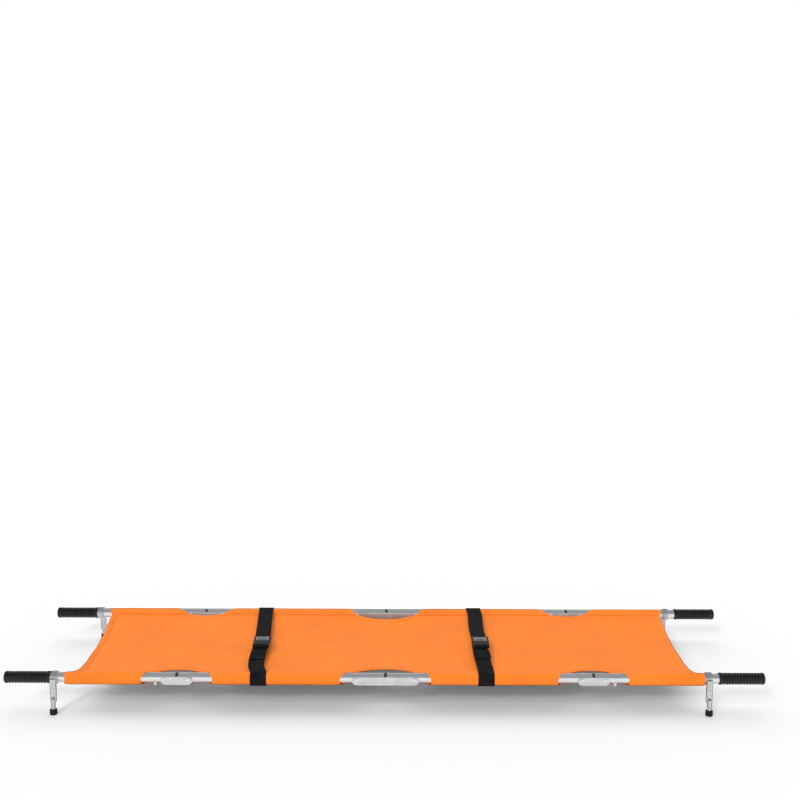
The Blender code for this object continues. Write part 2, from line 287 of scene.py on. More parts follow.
def make_plastic(name, base, roughness):
    """Moulded plastic with a fine spark-eroded texture."""
    made, shader = graph(name, base, roughness)
    grain = noise_at(place(shader), 1100.0, 2.0)
    dark, light = shades(base, 0.9, 1.25)
    tint(shader, grain, (0.35, dark), (0.70, light))
    bump(shader, grain, 0.00012, 0.4)
    matt(shader, 0.16)
    return made


# Each finish: a material, and the CAD slot it belongs to
CANVAS = (make_canvas_material(), "canvas")
THREAD = (make_thread_material(), "canvas")
WEBBING = (make_webbing_material(), "webbing")
TUBE = (make_metal("tube_aluminium", (0.80, 0.81, 0.82), 0.27, 3.0, 0.07), "aluminium_tube")
BRACKET = (make_cast_metal("bracket_aluminium", (0.70, 0.71, 0.72), 0.40), "bracket")
CHROME = (make_metal("bolt_chrome", (0.80, 0.80, 0.82), 0.14, 4.0, 0.05), "bolt")
LEG = (make_metal("leg_steel", (0.60, 0.61, 0.62), 0.40, 3.0), "leg")
COVER = (make_metal("cover_steel", (0.44, 0.44, 0.45), 0.42, 3.0), "spreader")
SPREADER = (make_metal("spreader_chrome", (0.78, 0.78, 0.80), 0.18, 3.0, 0.06), "spreader")
GRIP = (make_rubber("grip_rubber", (0.004, 0.004, 0.005), 0.36), "grip")
FOOT = (make_rubber("foot_rubber", (0.005, 0.005, 0.006), 0.65), "foot")
BUCKLE = (make_plastic("buckle_plastic", (0.008, 0.008, 0.009), 0.48), "buckle")


# --- Mesh tools


def link(name, data):
    """A new object in the scene."""
    made = bpy.data.objects.new(name, data)
    bpy.context.scene.collection.objects.link(made)
    return made


def mesh_of(name, shape):
    """A mesh from a bmesh, which is freed."""
    mesh = bpy.data.meshes.new(name)
    shape.to_mesh(mesh)
    shape.free()
    return mesh


def shift(shape, matrix):
    """Moves all of a bmesh by a matrix."""
    bmesh.ops.transform(shape, matrix=matrix, verts=shape.verts)


def finish_piece(name, shape, finish, body, crease=35):
    """An object from a bmesh, shaded smooth below the crease angle, riding on a body."""
    bmesh.ops.recalc_face_normals(shape, faces=shape.faces)
    mesh = mesh_of(name, shape)
    mesh.shade_smooth()
    mesh.set_sharp_from_angle(angle=radians(crease))
    made = link(name, mesh)
    material, slot = finish
    made.data.materials.append(material)
    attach(made, body)
    return made


def finish_node(node, *piece):
    """A finished piece that takes a CAD node's place."""
    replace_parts(finish_piece(*piece), node)


def turn_profile(shape, profile, sides, matrix):
    """Adds a solid turned about Z, moved by a matrix. The profile's (radius, z) points form a closed ring,
    or run from axis to axis."""
    rings = []
    for radius, z in profile:
        count = 1 if radius < ON_AXIS else sides
        ring = []
        for i in range(count):
            angle = tau * i / sides
            point = Vector((radius * cos(angle), radius * sin(angle), z))
            ring.append(shape.verts.new(matrix @ point))
        rings.append(ring)
    pairs = list(zip(rings, rings[1:]))
    if len(rings[0]) > 1 and len(rings[-1]) > 1:
        pairs.append((rings[-1], rings[0]))
    for one, two in pairs:
        for i in range(sides):
            after = i + 1
            around = (one[i % len(one)], one[after % len(one)], two[after % len(two)], two[i % len(two)])
            corners = list(dict.fromkeys(around))
            if len(corners) > 2:
                shape.faces.new(corners)


def turned(profile, sides, matrix):
    """A new bmesh turned from a profile."""
    shape = bmesh.new()
    turn_profile(shape, profile, sides, matrix)
    return shape


def rounded(profile, radius, steps=3):
    """A profile with each corner replaced by a small arc."""
    points = []
    count = len(profile)
    for i, corner in enumerate(profile):
        if corner[0] < ON_AXIS:
            points.append(corner)
            continue
        here = Vector(corner)
        before = Vector(profile[i - 1]) - here
        after = Vector(profile[(i + 1) % count]) - here
        cut = min(radius, before.length * 0.45, after.length * 0.45)
        start = here + before.normalized() * cut
        end = here + after.normalized() * cut
        for t in spaced(0, 1, steps):
            point = start * (1 - t) ** 2 + here * 2 * t * (1 - t) + end * t**2
            points.append(tuple(point))
    return points


def prism(outline, low, high):
    """A bmesh solid from an outline of (x, y) between two heights."""
    shape = bmesh.new()
    face = shape.faces.new([shape.verts.new((x, y, low)) for x, y in outline])
    grown = bmesh.ops.extrude_face_region(shape, geom=[face])
    tops = [item for item in grown["geom"] if isinstance(item, bmesh.types.BMVert)]
    bmesh.ops.translate(shape, vec=(0, 0, high - low), verts=tops)
    bmesh.ops.recalc_face_normals(shape, faces=shape.faces)
    return shape


def soften(shape, width, segments=2, above=25):
    """Bevels the edges that turn by more than an angle."""
    sharp = [e for e in shape.edges if len(e.link_faces) == 2 and e.calc_face_angle() > radians(above)]
    bmesh.ops.bevel(
        shape, geom=sharp, offset=width, offset_type="OFFSET", segments=segments, affect="EDGES", profile=0.5
    )


def box_outline(half_x, half_y, corner=0.0, steps=4):
    """A rectangle about the origin, with round corners if corner isn't 0."""
    if corner == 0.0:
        return [(-half_x, -half_y), (half_x, -half_y), (half_x, half_y), (-half_x, half_y)]
    points = []
    for sx, sy, start in ((1, -1, -90), (1, 1, 0), (-1, 1, 90), (-1, -1, 180)):
        for degrees in spaced(start, start + 90, steps):
            angle = radians(degrees)
            x = sx * (half_x - corner) + corner * cos(angle)
            y = sy * (half_y - corner) + corner * sin(angle)
            points.append((x, y))
    return points


def slot_outline(half, radius, steps=14):
    """A bar with round ends, whose arcs are centred at -half and +half along X."""
    points = []
    for centre, start in ((half, -90), (-half, 90)):
        for degrees in spaced(start, start + 180, steps):
            angle = radians(degrees)
            points.append((centre + radius * cos(angle), radius * sin(angle)))
    return points


def absorb(shape, other, matrix=Matrix.Identity(4)):
    """Moves another bmesh's faces into this one."""
    shift(other, matrix)
    mesh = mesh_of("scratch", other)
    shape.from_mesh(mesh)
    bpy.data.meshes.remove(mesh)


def carve(shape, cutters):
    """Cuts solids out of a bmesh with Blender's exact Boolean, and gives the result."""
    scratch = []
    for item in [shape, *cutters]:
        bmesh.ops.recalc_face_normals(item, faces=item.faces)
        scratch.append(link("scratch", mesh_of("scratch", item)))
    target = scratch[0]
    for cutter in scratch[1:]:
        boolean = target.modifiers.new("Boolean", "BOOLEAN")
        boolean.object = cutter
        boolean.solver = "EXACT"
    graph_now = bpy.context.evaluated_depsgraph_get()
    result = bmesh.new()
    result.from_mesh(target.evaluated_get(graph_now).to_mesh())
    meshes = [holder.data for holder in scratch]
    for holder in scratch:
        bpy.data.objects.remove(holder)
    for mesh in meshes:
        bpy.data.meshes.remove(mesh)
    bmesh.ops.remove_doubles(result, verts=result.verts, dist=1e-6)
    bmesh.ops.dissolve_limit(result, angle_limit=radians(1), verts=result.verts, edges=result.edges)
    return result


def move(x, y, z):
    return Matrix.Translation((x, y, z))


TO_X = Matrix.Rotation(pi / 2, 4, "Y")
UPRIGHT = Matrix.Rotation(pi / 2, 4, "X")


def outward(side):
    """Turns +Z to point away from the bed."""
    return Matrix.Rotation(-side * pi / 2, 4, "X")


def spin(degrees):
    return Matrix.Rotation(radians(degrees), 4, "Z")


# --- Poles


def body_of(number, row):
    """The body of a tube by number, in one row."""
    return f"{TUBE_BODY[number]}_{row}"


def make_tube(number, row, side):
    """A pole tube: drawn aluminium with broken edges at both ends."""
    wall = 0.0016
    node = f"tube_{number}_{row}"
    low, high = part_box(node)
    length = high[0] - low[0]
    ring = [(TUBE_R, length), (TUBE_R, 0), (TUBE_R - wall, 0), (TUBE_R - wall, length)]
    shape = turned(rounded(ring, 0.0005, 2), 56, move(low[0], side * POLE_Y, AXIS_Z) @ TO_X)
    finish_node(node, f"pole_{number}_{row}", shape, TUBE, body_of(number, row))


def make_grip(end, row, side):
    """A rubber grip with round rings, a plain collar at the pole side and a rolled lip at the tip."""
    rings = 13
    # The lip: (place past the rings, height over the grip's radius)
    lip = [(0, -0.0008), (0.0010, -0.0008), (0.0030, 0.0005)]
    lip += [(0.0055, 0.0008), (0.0082, 0.0003), (0.0102, -0.0012)]
    # One ring: (share of the pitch, height over the grip's radius)
    ring = [(0, -0.0019), (0.12, -0.0019), (0.24, -0.0006), (0.40, 0.0003)]
    ring += [(0.56, 0.0006), (0.72, 0.0003), (0.88, -0.0006)]
    node = f"grip_{end}_{row}"
    low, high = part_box(node)
    length = high[0] - low[0]
    radius = extent(node)[1] / 2 - 0.0008
    bore = TUBE_R + 0.0003
    collar = radius + 0.0008
    profile = [(bore, 0.0), (radius + 0.0002, 0.0), (collar, 0.0012), (collar, 0.0075)]
    start, stop = 0.010, length - 0.011
    pitch = (stop - start) / rings
    for i in range(rings):
        at = start + i * pitch
        profile += [(radius + rise, at + pitch * share) for share, rise in ring]
    profile += [(radius + rise, stop + past) for past, rise in lip]
    profile += [(radius - 0.0035, length), (radius - 0.0070, length - 0.0006)]
    profile += [(0, length - 0.0008), (0, length - 0.0037), (bore, length - 0.0037)]
    shape = bmesh.new()
    turn = Matrix.Rotation(pi / 2 if end == "right" else -pi / 2, 4, "Y")
    near = low[0] if end == "right" else high[0]
    turn_loop(shape, profile, 44, move(near, side * POLE_Y, AXIS_Z) @ turn)
    finish_node(node, f"hand_grip_{end}_{row}", shape, GRIP, body_of(OUTER[end], row), 50)


def turn_loop(shape, profile, sides, matrix):
    """Turns a profile that starts off the axis, runs out and ends off it, with a stretch on the axis."""
    at_axis = [i for i, (radius, _) in enumerate(profile) if radius < ON_AXIS]
    outer = profile[: at_axis[0] + 1]
    inner = profile[at_axis[-1] :]
    turn_profile(shape, outer, sides, matrix)
    turn_profile(shape, inner, sides, matrix)
    # The two skins meet in the ring at the mouth.
    bmesh.ops.remove_doubles(shape, verts=shape.verts, dist=ON_AXIS)
    rims = [e for e in shape.edges if e.is_boundary]
    if rims:
        bmesh.ops.bridge_loops(shape, edges=rims)


def make_bracket(hinge, row, side):
    """A hinge bracket: a U channel with softened edges and a shallow groove along each flange."""
    wall = 0.0025
    half = PIVOT_HALF[hinge]
    solid = prism(slot_outline(half, BRACKET_R), -BRACKET_HALF_Y, BRACKET_HALF_Y)
    soften(solid, 0.0007)
    inner = BRACKET_HALF_Y - wall
    # The web between the flanges stops short of the pivots
    web = half - 0.0145
    beyond = half + 2 * BRACKET_R
    deep = 3 * BRACKET_R
    floor = wall - BRACKET_R
    cavity = [(-beyond, -deep), (-web, -deep), (-web, floor), (web, floor), (web, -deep)]
    cavity += [(beyond, -deep), (beyond, deep), (-beyond, deep)]
    cutters = [prism(cavity, -inner, inner)]
    # The groove lies between the pivots on both outer faces
    groove = half - 0.012
    if groove > 0.02:
        for face in (-1, 1):
            low, high = sorted((face * (BRACKET_HALF_Y - 0.0006), face * (BRACKET_HALF_Y + 0.001)))
            cutters.append(prism(slot_outline(groove, 0.0045), low, high))
    shape = carve(solid, cutters)
    node = f"bracket_{hinge}_{row}"
    shift(shape, move(HINGE_X[hinge], side * POLE_Y, middle(node)[2]) @ UPRIGHT)
    finish_node(node, f"hinge_plate_{hinge}_{row}", shape, BRACKET, f"hinge_{hinge}_{row}")


def slotted_head(radius, height):
    """A domed bolt head with a screwdriver slot, standing on Z = 0."""
    profile = [(0, 0), (radius, 0), (radius, height * 0.35)]
    for degrees in spaced(0, 90, 5)[1:]:
        angle = radians(degrees)
        profile.append((radius * cos(angle), height * (0.35 + 0.65 * sin(angle))))
    profile[-1] = (0, height)
    dome = turned(profile, 28, Matrix.Identity(4))
    slot = prism(box_outline(radius * 1.2, radius * 0.13), height * 0.50, height * 1.5)
    return carve(dome, [slot])


def make_hinge_bolts(hinge, row, side):
    """Pivot bolts: a washer and a slotted head outside, a hexagon nut and the thread's end inside."""
    shank, wide, washer_r = 0.0030, 0.0054, 0.0062
    washer_thick, head_height, nut_height = 0.0006, 0.0025, 0.0034
    hexagon = [radians(60 * i + 30) for i in range(6)]
    for mark, direction in (("a", -1), ("b", 1)):
        node = f"hinge_bolt_{hinge}_{mark}_{row}"
        x = HINGE_X[hinge] + direction * PIVOT_HALF[hinge]
        at = move(x, side * POLE_Y, AXIS_Z) @ outward(side)
        seat = BRACKET_HALF_Y + 0.0001
        under_head = seat + washer_thick
        washer = [(shank, seat), (washer_r, seat), (washer_r, under_head), (shank, under_head)]
        shape = turned(rounded(washer, 0.0002, 1), 28, at)
        head = slotted_head(wide, head_height)
        absorb(shape, head, at @ move(0, 0, under_head) @ spin(37 + 61 * direction))
        rod = [(0, seat + 0.001), (shank, seat + 0.001), (shank, -seat), (0, -seat)]
        turn_profile(shape, rod, 20, at)
        corners = [(wide * cos(angle), wide * sin(angle)) for angle in hexagon]
        nut = prism(corners, -seat - nut_height, -seat)
        soften(nut, 0.0004, 1)
        absorb(shape, nut, at)
        tip = [(0, -0.003), (0.0029, -0.003), (0.0029, -0.0038), (0, -0.0043)]
        turn_profile(shape, [(radius, z - seat) for radius, z in tip], 16, at)
        finish_node(node, f"pivot_bolt_{hinge}_{mark}_{row}", shape, CHROME, f"hinge_{hinge}_{row}")


# --- Legs and spreaders


def make_leg(end, row, side):
    """A cast leg: a collar on the pole, a lug with two screws and a round post."""
    node = f"leg_{end}_{row}"
    foot = f"foot_{end}_{row}"
    half = extent(node)[0] / 2
    at = move(middle(node)[0], side * POLE_Y, AXIS_Z)
    bore, collar = TUBE_R + 0.0002, TUBE_R + 0.0035
    ring = [(bore, -half), (collar, -half), (collar, half), (bore, half)]
    shape = turned(rounded(ring, 0.0009), 48, at @ TO_X)
    out = middle(foot)[1] * side - POLE_Y
    near, far, low, high = 0.0150, 0.0245, -0.0600, 0.0030
    lug = prism(box_outline(half - 0.0002, (far - near) / 2, 0.0015), low, high)
    soften(lug, 0.0012, 3)
    absorb(shape, lug, at @ move(0, side * (near + far) / 2, 0))
    post_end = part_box(foot)[1][2] - AXIS_Z - 0.008
    post_r = 0.0060
    post = [(0, -0.0500), (0.0046, -0.0504), (post_r, -0.0518), (post_r, post_end), (0, post_end)]
    turn_profile(shape, post, 32, at @ move(0, side * out, 0))
    body = body_of(OUTER[end], row)
    finish_node(node, f"leg_post_{end}_{row}", shape, LEG, body, 40)
    face = at @ move(0, side * (far - 0.0002), 0)
    make_leg_screws(f"leg_screws_{end}_{row}", face, side, body)
    make_foot(foot, body)


def make_leg_screws(name, face, side, body):
    """Two slotted heads on the lug's outer face, one above the other."""
    screws = bmesh.new()
    for height, turn in ((-0.0300, 20), (-0.0430, 75)):
        absorb(screws, slotted_head(0.0030, 0.0014), face @ move(0, 0, height) @ outward(side) @ spin(turn))
    finish_piece(name, screws, CHROME, body, 40)


def make_foot(node, body):
    """A rubber ferrule with two grooves and a domed sole edge."""
    x, y, _ = middle(node)
    radius = extent(node)[0] / 2
    groove = radius - 0.0009
    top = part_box(node)[1][2]
    profile = [(0, 0), (radius - 0.0016, 0), (radius - 0.0004, 0.0006), (radius, 0.0020)]
    for z in (0.0050, 0.0090):
        profile += [(radius, z), (groove, z + 0.0004), (groove, z + 0.0012), (radius, z + 0.0016)]
    profile += [(radius - 0.0004, top - 0.0024), (radius - 0.0022, top - 0.0004), (0.0062, top), (0, top)]
    shape = turned(profile, 36, move(x, y, 0))
    finish_node(node, f"rubber_{node}", shape, FOOT, body, 50)


def make_spreader(end, row, side):
    """A flat folding bar, with the knee's rivet in the front one, and its pin."""
    thick = 0.003
    node = f"spreader_{end}_{row}"
    low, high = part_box(node)
    top = high[2]
    bottom = top - thick
    x = (low[0] + high[0]) / 2
    width = high[0] - low[0]
    solid = prism(slot_outline(POLE_Y / 2, width / 2), bottom, top)
    soften(solid, 0.0006)
    # A stiffening rib pressed up from below
    rib = prism(slot_outline(POLE_Y / 2 - 0.022, width * 0.20), bottom - 0.001, bottom + 0.0008)
    shape = carve(solid, [rib])
    shift(shape, move(x, side * POLE_Y / 2, 0) @ spin(90))
    if row == "front":
        under = low[2]
        rivet = [(0, under), (0.0030, under), (0.0046, under + 0.0010), (0.0048, under + 0.0021)]
        rivet += [(0.0029, under + 0.0022), (0.0029, top + 0.0003), (0.0044, top + 0.0003)]
        rivet += [(0.0036, top + 0.0012), (0, top + 0.0015)]
        turn_profile(shape, rivet, 24, move(x, 0, 0))
    finish_node(node, f"spreader_bar_{end}_{row}", shape, SPREADER, f"link_{end}_{row}")
    make_spreader_pin(end, row, side, x)


def make_spreader_pin(end, row, side, x):
    """The shouldered pin that hangs each bar below its pole."""
    node = f"spreader_pin_{end}_{row}"
    low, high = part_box(node)
    bar_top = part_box(f"spreader_{end}_{row}")[1][2]
    under, top = low[2], high[2]
    tube_under = AXIS_Z - TUBE_R
    shank, shoulder, head = 0.0030, 0.0056, 0.0044
    profile = [(0, under), (0.0034, under), (0.0052, under + 0.0010), (0.0054, under + 0.0023)]
    profile += [(shank, under + 0.0024), (shank, bar_top + 0.0003), (shoulder, bar_top + 0.0003)]
    profile += [(shoulder, tube_under + 0.0004), (shank, tube_under + 0.0006)]
    profile += [(shank, top - 0.0019), (head, top - 0.0018), (head, top), (0, top)]
    shape = turned(profile, 24, move(x, side * POLE_Y, 0))
    finish_node(node, f"pivot_pin_{end}_{row}", shape, CHROME, body_of(OUTER[end], row))


# --- Canvas


def lens(hinge, side):
    """A cut-out's depth on the unrolled cloth, and the radius of its arc."""
    depth = NOTCH_DEPTH[side][hinge] + QUARTER
    return depth, (NOTCH_HALF[hinge] ** 2 + depth**2) / (2 * depth)


def notch_half(hinge, side, along):
    """Half the length of a cut-out, at a distance along the cloth from the pole's outer line over its top."""
    depth, radius = lens(hinge, side)
    if along <= 0:
        return NOTCH_HALF[hinge]
    if along >= depth:
        return 0.0
    return sqrt(max(radius**2 - (radius - depth + along) ** 2, 0.0))


def notch_depth(x, side):
    """How far the bed is cut back from the pole's axis at x."""
    for hinge, centre in HINGE_X.items():
        depth, radius = lens(hinge, side)
        if abs(x - centre) < NOTCH_HALF[hinge]:
            return sqrt(radius**2 - (x - centre) ** 2) - (radius - depth) - QUARTER
    return 0.0


def edge_y(x, side):
    """The bed sheet's half width at x: it tucks into the sleeves, and follows the cut-outs."""
    return POLE_Y - max(BED_INSET, notch_depth(x, side))


def bed_end(y):
    """How far the hollow end of the bed lies inside its corners at y."""
    share = min(1.0, max(0.0, 0.5 + y / (2 * BED_EDGE)))
    inset = END_FRONT + (END_REAR - END_FRONT) * share + END_HOLLOW * sin(pi * share)
    beyond_flap = max(0.0, y + POLE_Y - FLAP_END)
    corner = max(0.0, 1 - beyond_flap / END_CORNER)
    return inset - (END_FRONT - END_FLAP) * corner**2


def bed_height(x, y):
    """The cloth's height: a taut, shallow sag with faint tension folds from the corners and the cut-outs."""
    across = min(1.0, abs(y) / BED_HALF)
    free = 1 - across**6
    sag_repeat = 0.9
    sag = SAG * (1 - across**2) * (0.75 + 0.25 * cos(2 * pi * x / sag_repeat))
    pull = 0.0
    height, reach, ripple = HINGE_FOLD
    for centre in HINGE_X.values():
        spread = exp(-(((x - centre) / reach) ** 2))
        pull += spread * height * sin((x - centre) / ripple) * across**3 * (1 - across)
    height, reach, ripple = END_FOLD
    for end in (-1, 1):
        near = exp(-((BED_END - end * x) / reach))
        pull += near * height * sin(y / ripple) * (1 - across**4)
    slack = 0.0010 * noise.noise(Vector((x * 7, y * 9, 3.1))) * free
    creases = 0.0004 * noise.noise(Vector((x * 26, y * 34, 7.7))) * free
    return AXIS_Z + BED_RISE - sag + pull + slack + creases


def sheet_grid(rows):
    """A bmesh from rows of points that all hold the same number."""
    shape = bmesh.new()
    lines = [[shape.verts.new(point) for point in row] for row in rows]
    for one, two in zip(lines, lines[1:]):
        for a, b, c, d in zip(one, one[1:], two[1:], two):
            shape.faces.new((a, b, c, d))
    return shape


def skin(shape, rings):
    """Joins rings of points, all of one size, and closes both ends."""
    count = len(rings[0])
    for one, two in zip(rings, rings[1:]):
        for k in range(count):
            after = (k + 1) % count
            shape.faces.new((one[k], one[after], two[after], two[k]))
    shape.faces.new(rings[0][::-1])
    shape.faces.new(rings[-1])


def make_cloth(name, rows, body, offset):
    """A canvas piece from rows of points, thickened to one side or both, and its flat area."""
    shape = sheet_grid(rows)
    area = sum(face.calc_area() for face in shape.faces)
    piece = finish_piece(name, shape, CANVAS, body, 60)
    solid = piece.modifiers.new("Thickness", "SOLIDIFY")
    solid.thickness = CLOTH
    solid.offset = offset
    bake(piece)
    return piece, area


def bake(piece):
    """Applies a piece's modifiers."""
    graph_now = bpy.context.evaluated_depsgraph_get()
    mesh = bpy.data.meshes.new_from_object(piece.evaluated_get(graph_now))
    old = piece.data
    piece.modifiers.clear()
    piece.data = mesh
    bpy.data.meshes.remove(old)
    mesh.set_sharp_from_angle(angle=radians(50))


def open_ends(low, high):
    """Whether a panel from low to high holds the bed's left end, and its right end."""
    near = 1e-6
    return low <= -BED_END + near, high >= BED_END - near


def panel_point(low, high, u, v):
    """A point of a bed panel: u runs from 0 to 1 along the bed, v from -1 to 1 across it."""
    rough_y = v * BED_HALF
    left_open, right_open = open_ends(low, high)
    start = low + bed_end(rough_y) if left_open else low
    stop = high - bed_end(rough_y) if right_open else high
    x = start + (stop - start) * u
    y = v * edge_y(x, -1 if v < 0 else 1)
    return Vector((x, y, bed_height(x, y)))


def make_bed_panel(name, node, low, high, body):
    """One panel of the bed, with its hems sewn on top."""
    along = max(6, round((high - low) / 0.0060))
    across = 76
    rows = [[panel_point(low, high, u, v) for v in spaced(-1, 1, across)] for u in spaced(0, 1, along)]
    piece, area = make_cloth(name, rows, body, 0.0)
    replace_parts(piece, node)
    squash_bed(piece)
    hem = make_panel_hem(name, low, high, body)


def squash_to(piece):
    """Gives a soft piece its own copy of its mesh."""
    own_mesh(piece)


def squash_bed(piece):
    """Gives a bed piece its own copy of its mesh."""
    squash_to(piece)


def hem_lines(low, high):
    """The edges of a panel that are hemmed: each is a list of (x, y, inward along X, inward along Y)."""
    lines = []
    for hinge, centre in HINGE_X.items():
        for side in (-1, 1):
            reach = notch_half(hinge, side, QUARTER + BED_INSET)
            start, stop = max(low, centre - reach), min(high, centre + reach)
            if stop - start < 0.004:
                continue
            count = max(4, round((stop - start) / 0.005))
            lines.append([(x, side * edge_y(x, side), 0.0, -side) for x in spaced(start, stop, count)])
    for end, open_here in zip((-1, 1), open_ends(low, high)):
        if open_here:
            places = spaced(-BED_HALF, BED_HALF, 60)
            lines.append([(end * (BED_END - bed_end(y)), y, -end, 0.0) for y in places])
    return lines


def on_bed(edge, inward, rise):
    """The point at a distance inward from an edge point, and at a height over the bed."""
    x, y, inward_x, inward_y = edge
    x += inward * inward_x
    y += inward * inward_y
    return Vector((x, y, bed_height(x, y) + rise))


def make_panel_hem(name, low, high, body):
    """The turned-over hems of one panel, if any: a second layer of cloth with a round edge, and stitches."""
    lines = hem_lines(low, high)
    if not lines:
        return None
    # From the cloth's underside round the edge, then inward over the top
    section = [(0.0005, -0.0012), (-0.0007, -0.0007), (-0.0010, 0.0004), (-0.0003, 0.0013)]
    section += [(0.0012, 0.0014), (HEM_WIDTH - 0.0008, 0.0013), (HEM_WIDTH, 0.0004)]
    shape = bmesh.new()
    stitches = bmesh.new()
    for line in lines:
        absorb(shape, sheet_grid([[on_bed(edge, inward, rise) for inward, rise in section] for edge in line]))
        for offset in (0.0030, HEM_WIDTH - 0.0025):
            sew(stitches, [on_bed(edge, offset, 0.0016) for edge in line])
    piece = finish_piece(f"{name}_hem", shape, CANVAS, body, 60)
    squash_bed(piece)
    seam = finish_piece(f"{name}_hem_stitches", stitches, THREAD, body, 60)
    squash_bed(seam)
    return piece


def sew(shape, path, pitch=STITCH, radius=0.00035):
    """Lays stitches along a path: short six-sided threads that dip at both ends."""
    gap, thin, lift = 0.14, 0.55, 0.7
    sides = 6
    lengths = [0.0]
    for a, b in zip(path, path[1:]):
        lengths.append(lengths[-1] + (b - a).length)
    total = lengths[-1]

    def at(distance):
        for i in range(len(path) - 1):
            if distance <= lengths[i + 1]:
                span = max(lengths[i + 1] - lengths[i], 1e-9)
                return path[i].lerp(path[i + 1], (distance - lengths[i]) / span)
        return path[-1]

    for i in range(int(total / pitch)):
        start = at(i * pitch + pitch * gap)
        stop = at(i * pitch + pitch * (1 - gap))
        middle_point = (start + stop) / 2 + Vector((0, 0, radius * lift))
        along = (stop - start).normalized()
        side = along.cross(Vector((0, 0, 1))).normalized()
        up = side.cross(along)
        rings = []
        for point, size in ((start, thin), (middle_point, 1.0), (stop, thin)):
            ring = []
            for k in range(sides):
                angle = tau * k / sides
                offset = (side * cos(angle) + up * sin(angle)) * radius * size
                ring.append(shape.verts.new(point + offset))
            rings.append(ring)
        skin(shape, rings)


def make_bed():
    """The bed's seven panels, which meet on the pivots' lines."""
    creases = []
    for hinge, x in HINGE_X.items():
        creases += [x - PIVOT_HALF[hinge], x + PIVOT_HALF[hinge]]
    lines = [-BED_END, *creases, BED_END]
    bodies = ["outer_left", "hinge_left", "inner_left", "hinge_middle"]
    bodies += ["inner_right", "hinge_right", "outer_right"]
    nodes = ["1", "left_hinge", "2", "middle_hinge", "3", "right_hinge", "4"]
    for body, node, low, high in zip(bodies, nodes, lines, lines[1:]):
        make_bed_panel(f"bed_{node}", f"canvas_{node}", low, high, f"{body}_front")


def droop(angle):
    """How far the sleeve hangs off the pole, at an angle up from the bed's side."""
    return SLEEVE_DROOP * max(0.0, -sin(angle)) ** 1.5


def sleeve_section():
    """The sleeve's section from the top flap round the pole to the lower flap, as (inward, up, along) points.
    along is the distance over the cloth from the pole's outer line."""
    seam = FLAP_END - 0.002
    upper = FLAP_RISE
    lower = BED_RISE - 0.0010
    # The lower flap leaves the pole loosely, and its length starts to count near the pole's underside
    loose, blend = 1.12, 0.006
    start = atan2(upper, seam) + acos(SLEEVE_R / hypot(seam, upper))
    stop = tau + atan2(lower, seam) - acos(loose * SLEEVE_R / hypot(seam, lower))
    points = [(FLAP_END, upper - 0.0003, QUARTER + FLAP_END), (seam, upper, QUARTER + seam)]
    for angle in spaced(start, stop, 34):
        radius = SLEEVE_R + droop(angle)
        inward = radius * cos(angle)
        if angle < pi:
            along = SLEEVE_R * (pi - angle)
        else:
            along = QUARTER * min(1.0, max(0.0, (inward + blend) / (2 * blend))) + max(0.0, inward)
        points.append((inward, radius * sin(angle), along))
    points += [(seam, lower, QUARTER + seam), (FLAP_END, lower + 0.0001, QUARTER + FLAP_END)]
    return points


def sleeve_ends(number, side, along):
    """Where the sleeve on a tube starts and stops, at a distance along the cloth from the pole's outside."""
    hinges = [None, *HINGE_X, None]
    before, after = hinges[number - 1], hinges[number]
    corner = END_FLAP if side < 0 else END_REAR
    end = BED_END - corner * min(1.0, max(0.0, along - QUARTER) / FLAP_END) ** 1.2
    low = -end if before is None else HINGE_X[before] + notch_half(before, side, along)
    high = end if after is None else HINGE_X[after] - notch_half(after, side, along)
    return low, high


def make_sleeve(number, row, side):
    """The sleeve on one tube, with curved ends at the hinges and two rows of stitches along its seam."""
    section = sleeve_section()
    steps, faded, puffed = 90, 6, 0.0004
    rows = []
    for inward, up, along in section:
        line = []
        for i, x in enumerate(spaced(*sleeve_ends(number, side, along), steps)):
            fade = min(1.0, i / faded, (steps - i) / faded)
            puff = puffed * (1 + noise.noise(Vector((x * 22, inward * 70, up * 70 + side)))) * fade
            scale = 1 + puff / SLEEVE_R
            line.append(Vector((x, side * (POLE_Y - inward * scale), AXIS_Z + up * scale)))
        rows.append(line)
    name = f"sleeve_{number}_{row}"
    body = body_of(number, row)
    piece, area = make_cloth(name, rows, body, -side)
    stitches = bmesh.new()
    for offset in (0.0025, 0.0065):
        inward = FLAP_END - offset
        first, last = sleeve_ends(number, side, QUARTER + inward)
        height = AXIS_Z + flap_height(section, inward) + 0.0012
        y = side * (POLE_Y - inward)
        sew(stitches, [Vector((x, y, height)) for x in spaced(first + 0.003, last - 0.003, 40)])
    seam = finish_piece(f"{name}_stitches", stitches, THREAD, body, 60)


def flap_height(section, inward):
    """The top flap's height at a distance inward, between two points of the section."""
    for (a_in, a_up, _), (b_in, b_up, _) in zip(section, section[1:]):
        if b_in <= inward <= a_in:
            return a_up + (b_up - a_up) * (a_in - inward) / max(a_in - b_in, 1e-9)
    return section[0][1]


# --- Straps and buckles

STRAP_HALF = 0.0222
STRAP_THICK = 0.0014
STRAP_REST = SLEEVE_R + CLOTH + 0.0010 + STRAP_THICK / 2
# How far in front of the buckle's middle the tail starts, and the strap starts to dip
TAIL_START, DIP_START = 0.034, 0.036
# The tube that each strap goes round, and the seed of its waves
STRAPS = {"left": (2, 3.1), "right": (3, 8.4)}
# The webbing slots' distance from a buckle's sides and ends
SLOT_SIDE, SLOT_IN = 0.008, 0.0065


def buckle_seam(end):
    """The place along Y where the socket of a buckle meets its plug."""
    return (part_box(f"buckle_socket_{end}")[1][1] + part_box(f"buckle_plug_{end}")[0][1]) / 2


BUCKLE_Y = {end: buckle_seam(end) for end in STRAPS}


